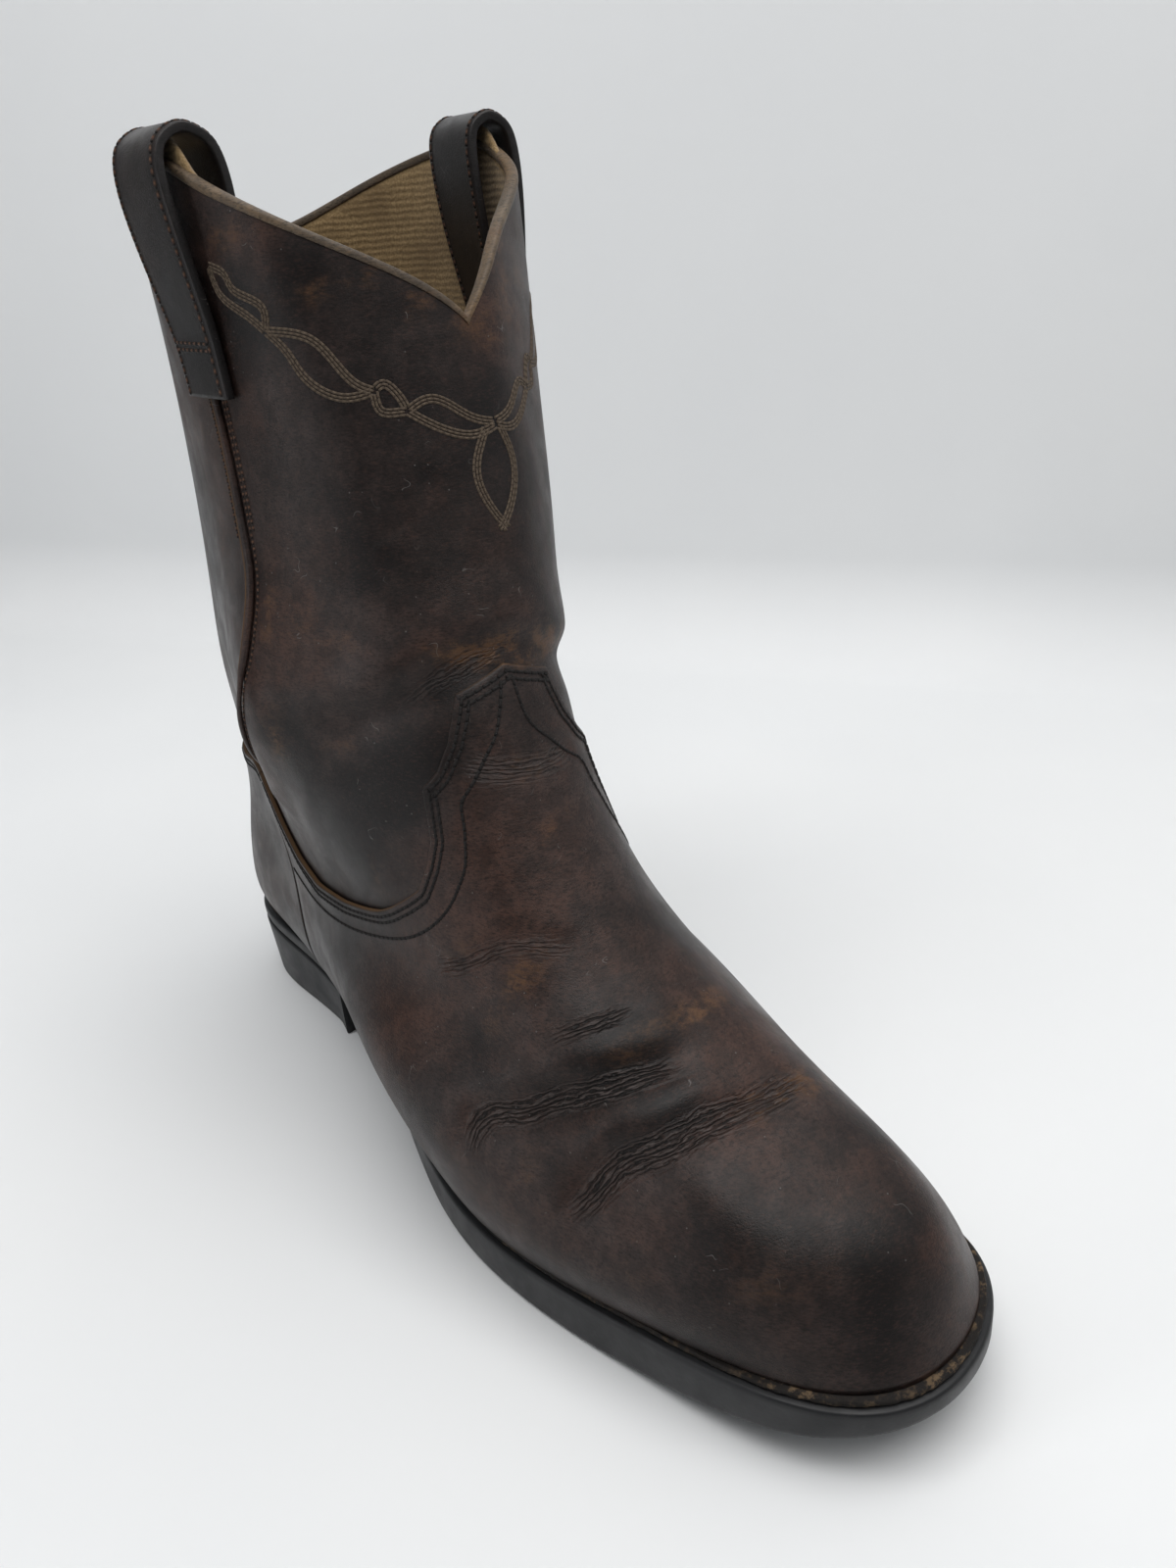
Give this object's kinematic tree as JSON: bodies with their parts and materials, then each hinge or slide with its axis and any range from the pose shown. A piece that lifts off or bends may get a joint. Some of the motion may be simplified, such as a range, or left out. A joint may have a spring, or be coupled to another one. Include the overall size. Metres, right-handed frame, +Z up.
{
  "type": "western boot",
  "caption": "Short pull-on western boot for the right foot: hollow leather upper with a V collar, vamp and counter overlays, looped pull straps, rubber sole and low heel.",
  "frame": {"origin": "middle of the boot's bounding box, on the floor it stands on", "axes": "+Z up, toe toward -Y, heel toward +Y, little-toe side toward -X, big-toe side toward +X"},
  "size_m": [0.1002, 0.2841, 0.2553],
  "materials": {
    "leather": "satin, worn",
    "edge": "matt",
    "lining": "matt",
    "midsole": "matt",
    "rubber": "satin"
  },
  "bodies": {
    "root": {"upper": "leather", "vamp": "leather", "heel_counter": "leather", "side_seam_lateral": "leather", "side_seam_medial": "leather", "pull_strap_lateral": "leather", "pull_strap_medial": "leather", "collar_binding": "edge", "insole": "lining", "midsole": "midsole", "outsole": "rubber", "heel": "rubber"}
  },
  "joints": []
}
